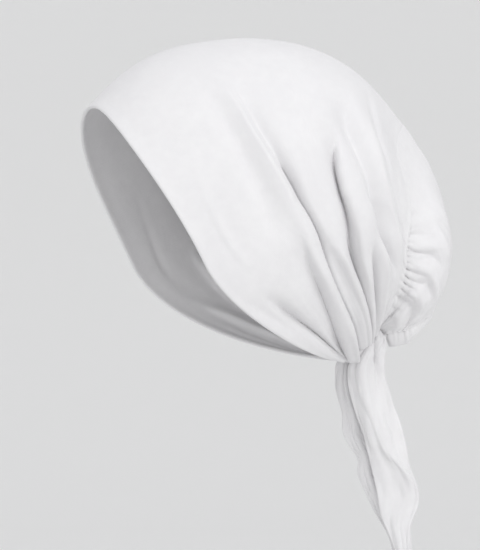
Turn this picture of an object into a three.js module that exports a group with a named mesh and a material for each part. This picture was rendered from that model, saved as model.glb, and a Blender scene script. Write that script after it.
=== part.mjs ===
import * as THREE from 'three';

// A tie-back bandana in thin white jersey, in the form that it takes on a head.
// Millimetres, +Z up, the forehead towards -Y and the wearer's left towards +X.
// The origin is the inside of the crown, where the top of the head sits.

const CLOTH = 1.3;            // wall of one layer of jersey with its nap
const EDGE_ROLL = 2.6;        // thickness of the turned front edge
const EDGE_ROLL_WIDTH = 0.02; // how far the roll reaches, as a share of the front panel
const SEAM_GAP = 0.34;        // clearance between two sewn pieces
const TAIL_CLOTH = 2.2;       // a tie end is the strap folded on itself

const FRONT_STEPS = { along: 42, fore: 12, folds: 18, rear: 7 };
const FOLDED_V = { from: 0.3, to: 0.7 }; // the deepest folds lie between these, on a finer mesh
const POUCH_STEPS = { along: 40, across: 10 };
const HEM_STEPS = { along: 36, around: 8 };
const KNOT_SIDES = 20;
const TAIL_STEPS = 18;
// From the fore border over the crease (1) to the back border
const TAIL_ACROSS = [0, 0.3, 0.6, 1, 1.35, 1.7, 2];
const TAIL_BLEND = 0.6;       // rows over which the round of the knot fades out of a tie end's levels
const TAIL_WAVE = { lift: 1.2, perRow: 0.9 }; // the faces beside the crease billow a little

// The cap is one surface of loops. Each loop leaves the crown's middle, rounds the side of the
// head and ends at the knot. v runs from the front edge (0) over the gathered seam (1) to the
// hem of the pouch (2). bow pushes a loop's upper quarter forwards, and approach is the angle
// in degrees at which it comes down into the knot.
const SEAM_V = 1;
const HEM_V = 2;
const PANEL_PLEATS_END = 0.9; // the pleats die out between this v and the seam
const LOOP_COLUMNS = ['v', 'crownY', 'crownZ', 'sideY', 'sideZ', 'halfWidth',
  'knotX', 'knotY', 'knotZ', 'approach', 'bow'];
const LOOPS = [
  [0.00, -104.5,  -44.5, -55, -141, 66, 10.3, 65.0, -204.5,   6,  3],
  [0.20,  -70.0,  -14.5, -21, -120, 74, 10.3, 68.5, -201.0,  34,  2],
  [0.40,  -23.0,   -1.0,   2, -101, 77, 10.3, 72.0, -197.5,  54,  2],
  [0.60,   25.0,   -1.0,  31,  -98, 75, 10.3, 75.5, -193.5,  68,  3],
  [0.80,   69.5,  -18.0,  62, -103, 65, 10.3, 79.0, -188.0,  84,  6],
  [1.00,  104.0,  -49.0,  88, -119, 46, 10.3, 82.5, -181.5, 116, 13],
  [1.33,  127.5,  -84.0, 108, -132, 47, 10.2, 85.0, -181.0, 135,  7],
  [1.66,  136.5, -126.0, 116, -156, 40, 10.2, 87.0, -181.0, 155,  3],
  [2.00,  128.0, -172.0, 104, -181, 25, 10.2, 89.5, -182.0, 178,  1],
];

// Where a loop passes from the arch over the head to the run down into the knot
const SIDE_S = 0.5;
const ARCH_SLOPE = 0.8;
const RUN_BEND = 1.35;

// Each fold runs towards the knot. at35 to at95 are its v where s is 0.35 to 0.95, lift is its
// height over the cloth (below zero it is a valley), and width is its half width in v.
const FOLD_STATIONS = [0.35, 0.5, 0.65, 0.8, 0.95];
const FOLD_COLUMNS = ['from', 'to', 'at35', 'at50', 'at65', 'at80', 'at95', 'lift', 'width'];
const LEFT_FOLDS = [
  [0.38, 1.30, 0.550, 0.585, 0.590, 0.530, 0.570, -6.5, 0.048],
  [0.30, 1.30, 0.350, 0.385, 0.420, 0.380, 0.430, -4.0, 0.040],
  [0.60, 1.30, 0.340, 0.310, 0.275, 0.220, 0.180, -3.5, 0.040],
  [0.66, 1.30, 0.060, 0.060, 0.070, 0.110, 0.155, -3.5, 0.035],
  [0.68, 0.98, 0.680, 0.680, 0.680, 0.680, 0.730, -4.5, 0.040],
  [0.28, 0.74, 0.680, 0.730, 0.800, 0.900, 0.900, -3.0, 0.055],
  [0.18, 0.60, 0.270, 0.245, 0.220, 0.220, 0.220, -1.5, 0.060],
  [0.18, 1.30, 0.295, 0.305, 0.330, 0.305, 0.310,  2.8, 0.045],
  [0.32, 1.30, 0.390, 0.450, 0.490, 0.460, 0.510,  2.8, 0.045],
  [0.34, 1.30, 0.610, 0.640, 0.650, 0.610, 0.660,  3.2, 0.045],
  [0.64, 1.00, 0.750, 0.750, 0.740, 0.840, 0.800,  2.5, 0.045],
  [0.30, 0.66, 0.770, 0.880, 0.960, 0.960, 0.960,  1.6, 0.050],
];
const RIGHT_FOLDS = [
  [0.36, 1.30, 0.520, 0.545, 0.550, 0.530, 0.560, -6.0, 0.045],
  [0.30, 1.30, 0.330, 0.360, 0.380, 0.360, 0.400, -4.0, 0.042],
  [0.58, 1.30, 0.240, 0.220, 0.210, 0.200, 0.190, -3.5, 0.040],
  [0.66, 1.30, 0.050, 0.050, 0.070, 0.100, 0.150, -3.0, 0.038],
  [0.42, 1.30, 0.700, 0.720, 0.730, 0.700, 0.720, -4.5, 0.042],
  [0.30, 0.80, 0.840, 0.850, 0.870, 0.900, 0.900, -2.5, 0.050],
  [0.22, 1.30, 0.270, 0.290, 0.300, 0.280, 0.290,  2.6, 0.045],
  [0.30, 1.30, 0.420, 0.440, 0.460, 0.440, 0.470,  3.0, 0.048],
  [0.34, 1.30, 0.610, 0.630, 0.640, 0.610, 0.640,  3.0, 0.045],
  [0.50, 1.30, 0.800, 0.800, 0.800, 0.790, 0.800,  2.2, 0.045],
];
const FOLD_RAMP = 0.16;       // the stretch of s in which a fold rises and dies out
const FULL_SPREAD = 165;      // millimetres of cloth per unit of v from which a fold has its full lift

// Small pleats pack the cloth into the knot
const PLEATS = { count: 4.5, lift: 1.0, from: 0.76, to: 0.98, phase: 0.35 };
// Puffs of the pouch below the gathered seam
const PUFFS = { count: 7, lift: 1.5, peak: 1.16, reach: 0.22, from: 0.7, to: 0.95 };

// The strap from the right wraps the gathers in a short round band about the X axis. Each row of
// the profile is a place across the band, as a share of its half width, and the radius there.
const KNOT = { y: 79, z: -194.5, radius: 14, halfWidth: 8.7, lobes: 0.7, lobeCount: 3 };
const KNOT_UNDERSIDE = 0.8;   // share of the knot's radius that a tie end follows
const KNOT_PROFILE = [[-1, 0.62], [-0.86, 0.84], [-0.5, 0.98], [-0.12, 1], [0.02, 0.94],
  [0.16, 1], [0.5, 0.98], [0.86, 0.84], [1, 0.62]];

// The elastic hem is a flat casing under the pouch's edge
const HEM = {
  heightBack: 7.5, heightKnot: 11, thickness: 3.4, end: 0.975, gap: 0.5, gathers: 17, puff: 0.12,
};

// A tie end hangs as a strap folded along a crease. Each row is one level: z, the Y of its two
// borders and of the crease, and the X of each. It starts on the knot's underside.
const TAIL_COLUMNS = ['z', 'foreY', 'creaseY', 'backY', 'foreX', 'creaseX', 'backX'];
const RIGHT_TAIL_ROWS = [
  [-209,  66.0,  72.0, 89.0, 1.5,  4.5,  3.0],
  [-225,  66.0,  74.0, 92.5, 3.5,  9.0,  6.0],
  [-238,  69.5,  79.0, 97.5, 4.5, 11.5,  7.5],
  [-249,  73.5,  83.5, 101.0, 5.0, 12.5,  8.0],
  [-262,  77.5,  89.5, 104.0, 6.5, 13.0,  9.0],
  [-274,  80.5,  96.0, 108.0, 8.0, 13.0, 10.0],
  [-288,  84.5, 101.0, 112.0, 9.0, 12.5, 10.5],
  [-300,  86.0, 101.0, 111.0, 9.5, 12.0, 10.5],
  [-311,  90.0, 101.0, 108.5, 10.0, 12.0, 11.0],
  [-324,  96.0, 102.5, 108.0, 10.5, 12.0, 11.5],
  [-338, 101.0, 104.0, 106.5, 11.0, 12.0, 11.5],
];
const LEFT_TAIL_ROWS = [
  [-207,  63.0,  69.0, 76.0, -6.0, -2.5, -4.5],
  [-220,  60.5,  68.0, 79.0, -9.0, -3.5, -6.0],
  [-229,  61.5,  71.0, 82.5, -9.0, -3.0, -5.0],
  [-239,  65.0,  76.0, 87.0, -9.5, -2.5, -4.5],
  [-249,  65.5,  79.0, 92.0, -9.0, -2.0, -4.0],
  [-261,  71.0,  84.0, 97.0, -8.0, -1.0, -3.0],
  [-271,  76.5,  88.0, 100.0, -7.0, 0.0, -2.0],
  [-280,  76.5,  90.0, 102.0, -6.0, 1.0, -1.0],
  [-293,  82.0,  94.0, 104.0, -5.0, 2.0,  0.0],
  [-307,  89.5,  98.0, 105.0, -3.0, 3.0,  1.0],
  [-319,  95.5, 100.0, 104.5, -1.0, 2.8,  1.5],
  [-328,  99.0, 101.5, 104.0,  0.0, 2.5,  1.5],
];

const WHITE = 0xeeedf2;
const SHADE_WHITE = 0xe6e4ea;

function named(columns, row) {
  return Object.fromEntries(columns.map((column, index) => [column, row[index]]));
}

function smooth(x, from, to) {
  const t = THREE.MathUtils.clamp((x - from) / (to - from), 0, 1);
  return t * t * (3 - 2 * t);
}

// A natural cubic spline through rows whose first number is the place along it
function splineRows(rows) {
  const places = rows.map((row) => row[0]);
  const last = rows.length - 1;
  const bends = rows[0].slice(1).map((_, column) => {
    const value = (i) => rows[i][column + 1];
    const upper = new Array(last + 1).fill(0);
    const right = new Array(last + 1).fill(0);
    for (let i = 1; i < last; i++) {
      const before = places[i] - places[i - 1];
      const after = places[i + 1] - places[i];
      const turn = 6 * ((value(i + 1) - value(i)) / after - (value(i) - value(i - 1)) / before);
      const pivot = 2 * (before + after) - before * upper[i - 1];
      upper[i] = after / pivot;
      right[i] = (turn - before * right[i - 1]) / pivot;
    }
    const bend = new Array(last + 1).fill(0);
    for (let i = last - 1; i > 0; i--) bend[i] = right[i] - upper[i] * bend[i + 1];
    return bend;
  });
  return (place) => {
    let i = 0;
    while (i < last - 1 && place > places[i + 1]) i++;
    const span = places[i + 1] - places[i];
    const t = place - places[i];
    return bends.map((bend, column) => {
      const start = rows[i][column + 1];
      const slope = (rows[i + 1][column + 1] - start) / span - span * (2 * bend[i] + bend[i + 1]) / 6;
      return start + slope * t + bend[i] / 2 * t * t + (bend[i + 1] - bend[i]) / (6 * span) * t ** 3;
    });
  };
}

const loopAt = splineRows(LOOPS);

// A point of the smooth cap. s runs from the knot over the crown (0) to the knot, from -1 to 1.
function capPoint(s, v) {
  const loop = named(LOOP_COLUMNS, [v, ...loopAt(v)]);
  const side = Math.abs(s);
  const runY = loop.sideY - loop.crownY;
  const runZ = loop.sideZ - loop.crownZ;
  if (side <= SIDE_S) {
    const angle = side / SIDE_S * Math.PI / 2;
    const share = 1 - Math.cos(angle);
    const y = loop.crownY + runY * share - loop.bow * Math.sin(2 * angle) ** 2;
    const z = loop.crownZ + runZ * share;
    return new THREE.Vector3(Math.sign(s) * loop.halfWidth * Math.sin(angle), y, z);
  }
  const t = Math.min((side - SIDE_S) / (1 - SIDE_S), 1);
  const dropY = loop.knotY - loop.sideY;
  const dropZ = loop.knotZ - loop.sideZ;
  const chord = Math.hypot(dropY, dropZ);
  const startScale = chord * ARCH_SLOPE / Math.hypot(runY, runZ);
  const angle = THREE.MathUtils.degToRad(loop.approach);
  const leave = t ** 3 - 2 * t * t + t;
  const arrive = t ** 3 - t * t;
  const share = 3 * t * t - 2 * t ** 3;
  const y = loop.sideY + dropY * share + runY * startScale * leave + Math.cos(angle) * chord * arrive;
  const z = loop.sideZ + dropZ * share + runZ * startScale * leave - Math.sin(angle) * chord * arrive;
  const x = loop.knotX + (loop.halfWidth - loop.knotX) * Math.cos(Math.PI / 2 * t ** RUN_BEND);
  return new THREE.Vector3(Math.sign(s) * x, y, z);
}

function foldShapes(table) {
  return table.map((row) => {
    const fold = named(FOLD_COLUMNS, row);
    const places = [fold.at35, fold.at50, fold.at65, fold.at80, fold.at95];
    fold.place = splineRows(FOLD_STATIONS.map((station, index) => [station, places[index]]));
    return fold;
  });
}

const FOLDS = { left: foldShapes(LEFT_FOLDS), right: foldShapes(RIGHT_FOLDS) };

// Millimetres of smooth cap per unit of v at one place
function cloth(s, v) {
  const step = 1e-3;
  return capPoint(s, v + step).distanceTo(capPoint(s, v - step)) / (2 * step);
}

// How far the cloth stands off the smooth cap at one place
function foldLift(s, v) {
  const side = Math.abs(s);
  const spread = Math.min(1, cloth(s, v) / FULL_SPREAD);
  let lift = 0;
  for (const fold of s > 0 ? FOLDS.left : FOLDS.right) {
    const ramp = smooth(side, fold.from, fold.from + FOLD_RAMP)
      * (1 - smooth(side, fold.to - FOLD_RAMP, fold.to));
    if (ramp === 0) continue;
    const station = THREE.MathUtils.clamp(side, FOLD_STATIONS[0], 1);
    const away = (v - fold.place(station)[0]) / fold.width;
    lift += fold.lift * ramp * spread * Math.exp(-away * away);
  }
  const pleat = smooth(side, PLEATS.from, PLEATS.to) * (1 - smooth(v, PANEL_PLEATS_END, SEAM_V));
  lift += pleat * PLEATS.lift * Math.cos(2 * Math.PI * (PLEATS.count * v + PLEATS.phase));
  const nearSeam = Math.exp(-(((v - PUFFS.peak) / PUFFS.reach) ** 2));
  const puff = nearSeam * (1 - smooth(side, PUFFS.from, PUFFS.to));
  lift += PUFFS.lift * puff * Math.cos(2 * Math.PI * PUFFS.count * side);
  return lift;
}

// The outward direction of a surface, from small steps along it
function outward(surface, s, v) {
  const step = 2e-3;
  const alongS = surface(s + step, v).sub(surface(s - step, v));
  const alongV = surface(s, v + step).sub(surface(s, v - step));
  return alongS.cross(alongV).normalize();
}

function capSurface(s, v) {
  return capPoint(s, v).addScaledVector(outward(capPoint, s, v), foldLift(s, v));
}

// A closed wall from a grid of places on a surface, with half of its thickness on each side
function wall(places, surface, thickness) {
  const rows = places.length;
  const columns = places[0].length;
  const positions = [];
  for (const sign of [1, -1]) {
    for (const row of places) {
      for (const [s, v] of row) {
        const point = surface(s, v).addScaledVector(outward(surface, s, v), sign * thickness(s, v) / 2);
        positions.push(point.x, point.y, point.z);
      }
    }
  }
  const index = [];
  const at = (layer, i, j) => layer * rows * columns + i * columns + j;
  const quad = (a, b, c, d) => index.push(a, b, c, a, c, d);
  for (let i = 0; i < rows - 1; i++) {
    for (let j = 0; j < columns - 1; j++) {
      quad(at(0, i, j), at(0, i + 1, j), at(0, i + 1, j + 1), at(0, i, j + 1));
      quad(at(1, i, j), at(1, i, j + 1), at(1, i + 1, j + 1), at(1, i + 1, j));
    }
  }
  for (let i = 0; i < rows - 1; i++) {
    quad(at(0, i, 0), at(1, i, 0), at(1, i + 1, 0), at(0, i + 1, 0));
    const j = columns - 1;
    quad(at(0, i, j), at(0, i + 1, j), at(1, i + 1, j), at(1, i, j));
  }
  for (let j = 0; j < columns - 1; j++) {
    quad(at(0, 0, j), at(0, 0, j + 1), at(1, 0, j + 1), at(1, 0, j));
    const i = rows - 1;
    quad(at(0, i, j), at(1, i, j), at(1, i, j + 1), at(0, i, j + 1));
  }
  return closedGeometry(positions, index);
}

function closedGeometry(positions, index) {
  const geometry = new THREE.BufferGeometry();
  geometry.setAttribute('position', new THREE.Float32BufferAttribute(positions, 3));
  geometry.setIndex(index);
  geometry.computeVertexNormals();
  return geometry;
}

function steps(from, to, count) {
  return Array.from({ length: count + 1 }, (_, i) => from + (to - from) * i / count);
}

// Half of the seam's clearance, as a step in v at one s
function seamStep(s, v) {
  return SEAM_GAP / 2 / cloth(s, v);
}

function frontPanel() {
  const places = steps(-1, 1, FRONT_STEPS.along).map((s) => {
    const rear = SEAM_V - seamStep(s, SEAM_V);
    const roll = [0, EDGE_ROLL_WIDTH * 0.7, EDGE_ROLL_WIDTH * 1.7];
    const fore = steps(EDGE_ROLL_WIDTH * 3, FOLDED_V.from, FRONT_STEPS.fore - roll.length);
    const folds = steps(FOLDED_V.from, FOLDED_V.to, FRONT_STEPS.folds).slice(1);
    const back = steps(FOLDED_V.to, rear, FRONT_STEPS.rear).slice(1);
    return [...roll, ...fore, ...folds, ...back].map((v) => [s, v]);
  });
  const thickness = (s, v) => CLOTH + (EDGE_ROLL - CLOTH) * Math.exp(-((v / EDGE_ROLL_WIDTH) ** 2));
  return wall(places, capSurface, thickness);
}

function backPouch() {
  const places = steps(-1, 1, POUCH_STEPS.along).map((s) => {
    const front = SEAM_V + seamStep(s, SEAM_V);
    return steps(front, HEM_V, POUCH_STEPS.across).map((v) => [s, v]);
  });
  return wall(places, capSurface, () => CLOTH);
}

// A closed tube from a list of rings of equal length, with flat ends
function tube(rings) {
  const sides = rings[0].length;
  const positions = rings.flat().flatMap((point) => [point.x, point.y, point.z]);
  const index = [];
  for (let i = 0; i < rings.length - 1; i++) {
    for (let j = 0; j < sides; j++) {
      const a = i * sides + j;
      const b = a + sides;
      const c = (i + 1) * sides + (j + 1) % sides;
      const d = c - sides;
      index.push(a, b, c, a, c, d);
    }
  }
  const last = (rings.length - 1) * sides;
  for (let j = 1; j < sides - 1; j++) {
    index.push(0, j, j + 1);
    index.push(last, last + j + 1, last + j);
  }
  return closedGeometry(positions, index);
}

function pouchHem() {
  const path = (s) => capSurface(s, HEM_V);
  const rings = steps(-HEM.end, HEM.end, HEM_STEPS.along).map((s) => {
    const step = 5e-3;
    const tangent = path(s + step).sub(path(s - step)).setZ(0).normalize();
    const across = new THREE.Vector3(tangent.y, -tangent.x, 0);
    const height = THREE.MathUtils.lerp(HEM.heightBack, HEM.heightKnot, s * s);
    const puff = 1 + HEM.puff * Math.cos(2 * Math.PI * HEM.gathers * s);
    const centre = path(s);
    centre.z -= HEM.gap + height / 2;
    return Array.from({ length: HEM_STEPS.around }, (_, j) => {
      const angle = 2 * Math.PI * j / HEM_STEPS.around;
      const out = Math.cos(angle) * HEM.thickness / 2 * puff;
      const up = Math.sin(angle) * height / 2;
      return centre.clone().addScaledVector(across, out).add(new THREE.Vector3(0, 0, up));
    });
  });
  return tube(rings);
}

function knotWrap() {
  const rings = KNOT_PROFILE.map(([place, share]) => {
    return Array.from({ length: KNOT_SIDES }, (_, j) => {
      const turn = -2 * Math.PI * j / KNOT_SIDES;
      const radius = KNOT.radius * share + KNOT.lobes * Math.cos(KNOT.lobeCount * turn + place);
      const y = KNOT.y + radius * Math.cos(turn);
      return new THREE.Vector3(place * KNOT.halfWidth, y, KNOT.z + radius * Math.sin(turn));
    });
  });
  return tube(rings);
}

// The level that a tie end starts at, just under the round of the knot
function underKnot(y) {
  const reach = KNOT.radius + KNOT.lobes + SEAM_GAP;
  const away = Math.min(Math.abs(y - KNOT.y), reach * KNOT_UNDERSIDE);
  return KNOT.z - Math.sqrt(reach * reach - away * away);
}

function tieEnd(rows) {
  const levels = splineRows(rows.map((row, index) => [index, ...row]));
  const surface = (place, across) => {
    const level = named(TAIL_COLUMNS, levels(place));
    const fore = Math.max(1 - across, 0);
    const back = Math.max(across - 1, 0);
    const crease = 1 - fore - back;
    const y = level.foreY * fore + level.creaseY * crease + level.backY * back;
    const face = Math.sin(Math.PI * Math.max(fore, back));
    const wave = TAIL_WAVE.lift * face * Math.sin(TAIL_WAVE.perRow * place);
    const x = level.foreX * fore + level.creaseX * crease + level.backX * back + wave;
    const rise = underKnot(y) - rows[0][0];
    return new THREE.Vector3(x, y, level.z + rise * Math.exp(-place / TAIL_BLEND));
  };
  const places = steps(0, rows.length - 1, TAIL_STEPS).map((place) => {
    return TAIL_ACROSS.map((across) => [place, across]);
  });
  return wall(places, surface, () => TAIL_CLOTH);
}

function mesh(name, geometry, color) {
  const material = new THREE.MeshStandardMaterial({ color, roughness: 0.86, metalness: 0 });
  const piece = new THREE.Mesh(geometry, material);
  piece.name = name;
  return piece;
}

const bandana = new THREE.Group();
bandana.add(mesh('front_panel', frontPanel(), WHITE));
bandana.add(mesh('back_pouch', backPouch(), WHITE));
bandana.add(mesh('pouch_hem', pouchHem(), SHADE_WHITE));
bandana.add(mesh('knot_wrap', knotWrap(), WHITE));
bandana.add(mesh('right_tail', tieEnd(RIGHT_TAIL_ROWS), WHITE));
bandana.add(mesh('left_tail', tieEnd(LEFT_TAIL_ROWS), SHADE_WHITE));

export default bandana;
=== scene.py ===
# Tie-back bandana in white jersey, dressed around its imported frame.
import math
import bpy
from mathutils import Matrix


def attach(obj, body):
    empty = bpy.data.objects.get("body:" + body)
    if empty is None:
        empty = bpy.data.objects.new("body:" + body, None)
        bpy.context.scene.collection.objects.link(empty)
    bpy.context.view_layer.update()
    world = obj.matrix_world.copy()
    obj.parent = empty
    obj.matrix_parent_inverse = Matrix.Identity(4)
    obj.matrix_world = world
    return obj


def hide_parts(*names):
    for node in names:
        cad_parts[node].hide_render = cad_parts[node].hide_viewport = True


bl_info = {
    "name": "Tie-back bandana",
    "version": (1, 0, 0),
    "blender": (4, 5, 0),
    "location": "View3D > Sidebar > Bandana",
    "description": "Builds a white jersey head wrap with a gathered pouch around its frame",
    "category": "Add Mesh",
}

import bpy
import numpy as np
from bpy.props import FloatProperty, FloatVectorProperty, PointerProperty
from mathutils import Vector

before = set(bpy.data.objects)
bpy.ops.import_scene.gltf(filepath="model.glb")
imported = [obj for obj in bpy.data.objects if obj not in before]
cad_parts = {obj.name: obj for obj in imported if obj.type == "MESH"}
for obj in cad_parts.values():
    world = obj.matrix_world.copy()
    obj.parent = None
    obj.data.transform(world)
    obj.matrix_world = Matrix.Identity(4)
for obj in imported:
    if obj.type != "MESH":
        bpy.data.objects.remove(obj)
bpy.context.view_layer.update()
MM = 0.001

# The cap is one surface of loops in millimetres, each from the crown's middle round the side of
# the head to the knot. v is 0 at the front edge, 1 at the gathered seam and 2 at the hem.
SEAM_V, HEM_V = 1.0, 2.0
LOOP_COLUMNS = ("crown_y", "crown_z", "side_y", "side_z", "half_width",
                "knot_x", "knot_y", "knot_z", "approach", "bow")
LOOPS = {
    0.00: (-104.5, -44.5, -55, -141, 66, 10.3, 59.8, -201.8, 6, 3),
    0.20: (-70.0, -14.5, -21, -120, 74, 10.3, 64.5, -202.0, 34, 2),
    0.40: (-23.0, -1.0, 2, -101, 77, 10.3, 74.6, -195.6, 54, 2),
    0.60: (25.0, -1.0, 31, -98, 75, 10.3, 80.0, -191.0, 68, 3),
    0.80: (69.5, -18.0, 62, -103, 65, 10.3, 81.8, -185.4, 84, 6),
    1.00: (104.0, -49.0, 88, -119, 46, 10.3, 83.4, -181.5, 116, 13),
    1.33: (127.5, -84.0, 108, -132, 47, 10.2, 85.0, -181.0, 135, 7),
    1.66: (136.5, -126.0, 116, -156, 40, 10.2, 87.0, -182.4, 155, 3),
    2.00: (128.0, -172.0, 104, -181, 25, 10.2, 88.8, -184.6, 182, 1),
}
SIDE_S, ARCH_SLOPE, RUN_BEND = 0.5, 0.8, 1.35

# The straps' ends are drawn together into the knot, whose axis runs across the nape
KNOT_Y, KNOT_Z = 79.0, -194.5
KNOT_HALF_WIDTH, KNOT_RADIUS, KNOT_BAND = 8.4, 6.4, 4.8
# Creases of the wound strap: the place across it, the depth and the half width
KNOT_CREASES = ((-4.2, 1.3, 0.9), (-0.6, 1.7, 1.1), (3.6, 1.4, 0.9))
TUCK_LENGTH, TUCK_X = 0.05, 4.0

# Folds of the front panel. The first two numbers are where a fold starts and ends along s, the
# next seven its v at the stations, in thousandths, then its lift in millimetres, below zero for a
# valley, and its half widths, in thousandths of v, towards the front edge and towards the seam.
# The brow has no lift of its own: it only leans.
FOLD_PARTS = 1000
FOLD_STATIONS = (0.35, 0.45, 0.55, 0.65, 0.75, 0.85, 0.95)
LEFT_FOLDS = {
    "main valley": (0.34, 0.82, 592, 618, 646, 618, 554, 520, 500, -10, 62, 30),
    "main valley crest": (0.36, 0.86, 636, 662, 690, 662, 598, 570, 550, 4, 14, 50),
    "main valley brow": (0.36, 0.84, 616, 642, 670, 642, 578, 550, 540, 0, 16, 18),
    "ridge over it": (0.64, 1.3, 440, 440, 440, 458, 478, 470, 474, 4.2, 40, 16),
    "main valley floor": (0.63, 1.3, 560, 560, 575, 568, 526, 504, 504, -8.5, 14, 20),
    "ridge between": (0.30, 0.80, 400, 415, 434, 458, 486, 490, 490, 2.6, 34, 45),
    "second valley": (0.38, 1.3, 345, 364, 404, 402, 354, 335, 325, -8.4, 13, 18),
    "second valley head": (0.24, 0.56, 335, 360, 400, 400, 360, 340, 330, -3, 18, 26),
    "second valley floor": (0.58, 1.3, 370, 390, 420, 425, 410, 405, 400, -4, 45, 55),
    "long ridge": (0.18, 0.72, 300, 322, 352, 346, 312, 300, 290, 2.8, 40, 22),
    "third ridge": (0.58, 1.3, 325, 325, 325, 322, 318, 302, 284, 3.6, 16, 24),
    "third valley": (0.57, 1.3, 335, 325, 317, 310, 288, 258, 220, -8, 74, 20),
    "ear valley": (0.64, 1.3, 80, 80, 80, 80, 90, 102, 98, -7.5, 20, 32),
    "narrow ridge": (0.66, 1.3, 600, 600, 600, 600, 582, 556, 550, 2.8, 20, 20),
    "hollow by the seam": (0.66, 1.00, 700, 700, 700, 700, 672, 644, 632, -12, 26, 34),
    "ridge in front of it": (0.66, 1.3, 660, 660, 660, 660, 622, 586, 576, 1.8, 18, 12),
    "ridge behind it": (0.62, 1.2, 750, 750, 750, 750, 770, 755, 730, 3.6, 34, 40),
    "broad rear valley": (0.24, 0.80, 675, 726, 785, 820, 880, 900, 900, -7, 50, 34),
    "rear ridge": (0.26, 0.74, 760, 800, 880, 920, 960, 960, 960, 2, 34, 40),
    "crown furrow": (0.14, 0.44, 820, 860, 900, 900, 900, 900, 900, -2, 30, 22),
    "seam crease": (0.38, 0.62, 790, 846, 965, 985, 985, 980, 980, -1.3, 10, 20),
    "long soft valley": (0.18, 0.60, 262, 238, 230, 225, 220, 220, 220, -2.2, 34, 50),
    "thin ridge": (0.22, 0.56, 308, 328, 360, 360, 350, 350, 350, 1, 10, 10),
    "upper furrow": (0.20, 0.46, 500, 515, 530, 530, 530, 530, 530, -1.2, 24, 16),
    "edge crease": (0.32, 0.62, 100, 80, 95, 110, 110, 110, 110, 0.8, 10, 16),
    "edge dent": (0.62, 0.84, 20, 20, 22, 30, 45, 60, 60, -1.6, 20, 30),
    "edge pleat": (0.76, 1.3, 50, 50, 50, 45, 42, 40, 45, 2.6, 45, 40),
    "plump pleat": (0.78, 1.3, 270, 270, 270, 270, 270, 262, 248, 3.4, 50, 50),
    "pleat crease": (0.82, 1.3, 330, 330, 330, 330, 330, 334, 330, -6, 12, 16),
    "middle pleat": (0.78, 1.3, 430, 430, 430, 430, 424, 410, 404, 5.4, 42, 42),
    "pleat by the seam": (0.80, 1.3, 880, 880, 880, 880, 880, 860, 840, -2.6, 18, 26),
}
RIGHT_FOLDS = {
    "main valley": (0.34, 0.84, 520, 535, 548, 550, 540, 535, 550, -8, 50, 24),
    "main valley floor": (0.62, 1.3, 550, 550, 550, 555, 550, 545, 560, -7, 16, 24),
    "second valley": (0.28, 1.3, 330, 350, 370, 375, 365, 360, 380, -6.2, 14, 34),
    "third valley": (0.56, 1.3, 240, 230, 220, 210, 200, 195, 190, -5.4, 22, 34),
    "ear valley": (0.66, 1.3, 50, 50, 50, 65, 90, 110, 120, -4, 20, 34),
    "rear valley": (0.40, 1.3, 700, 710, 720, 730, 720, 700, 720, -7, 22, 34),
    "broad rear valley": (0.28, 0.80, 840, 845, 860, 870, 890, 900, 900, -2.6, 40, 50),
    "long ridge": (0.20, 1.3, 270, 285, 300, 300, 290, 280, 290, 2.8, 45, 26),
    "thin ridge": (0.24, 0.60, 430, 430, 440, 440, 440, 440, 440, 0.9, 12, 14),
    "ridge between": (0.30, 1.3, 410, 430, 450, 460, 455, 450, 470, 3, 40, 40),
    "ridge behind it": (0.32, 1.3, 600, 615, 630, 635, 620, 610, 640, 3, 16, 45),
    "seam ridge": (0.46, 1.3, 800, 800, 800, 800, 790, 785, 800, 2.4, 40, 40),
    "edge crease": (0.36, 0.66, 120, 100, 85, 80, 90, 100, 100, 0.7, 12, 16),
    "plump pleat": (0.76, 1.3, 280, 280, 280, 280, 280, 285, 300, 3.6, 50, 50),
    "middle pleat": (0.78, 1.3, 460, 460, 460, 460, 460, 460, 480, 3.4, 35, 35),
    "pleat by the seam": (0.80, 1.3, 850, 850, 850, 850, 850, 840, 860, -2.4, 18, 26),
}
FOLD_RAMP, FOLD_WANDER = 0.13, 0.004
# Loops this far apart, in millimetres for 1 of v, carry folds at their full height
FULL_SPREAD, POUCH_SPREAD = 165.0, 110.0
KNOT_BULGE = 0.7

# How far the ridge beside a valley leans over it, in millimetres, at the valley's upper and lower
# end. A positive lean brings the fore ridge back, a negative one the aft ridge forward.
LEANS = {
    "main valley": (-6.5, -2.0),
    "main valley brow": (-7.0, -1.0),
    "main valley floor": (1.0, 4.8),
    "second valley": (2.0, 2.6),
    "third valley": (-2.0, -4.4),
    "ear valley": (0.8, 2.4),
    "hollow by the seam": (0.6, 1.2),
    "rear valley": (2.2, 3.6),
    "pleat crease": (1.0, 2.4),
}

# Gathers of the pouch where it is sewn to the panel's rear edge, on the wearer's left: the place
# along s, the slant, then reach, depth and half width in millimetres. Elsewhere they are drawn.
LEFT_GATHERS = (
    (0.462, -0.80, 12, 0.7, 1.2),
    (0.500, -0.80, 8, 0.8, 0.9),
    (0.540, -0.80, 20, 1.6, 1.1),
    (0.578, -0.50, 5, 0.8, 0.7),
    (0.603, -0.30, 9, 2, 0.7),
    (0.628, -0.62, 21, 2.4, 0.8),
    (0.650, -0.45, 4, 1.7, 0.6),
    (0.675, -0.35, 4, 1.5, 0.6),
    (0.706, -0.30, 15, 2.7, 0.9),
    (0.735, -0.05, 11, 2.4, 0.8),
    (0.765, 0.05, 13, 2.4, 0.9),
    (0.797, 0.12, 11, 2.3, 0.8),
    (0.838, 0.00, 17, 3.8, 1.9),
    (0.890, -0.10, 9, 2, 1.2),
    (0.930, -0.10, 8, 1.4, 0.9),
)
GATHER_GAP, GATHER_SPREAD, GATHER_PUFF = 5.0, 11.0, 1.5
SEAM_SINK, SEAM_SINK_LOWER = 0.6, 1.2
PUFF_AT, PUFF_REACH = 6.5, 7.5

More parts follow.
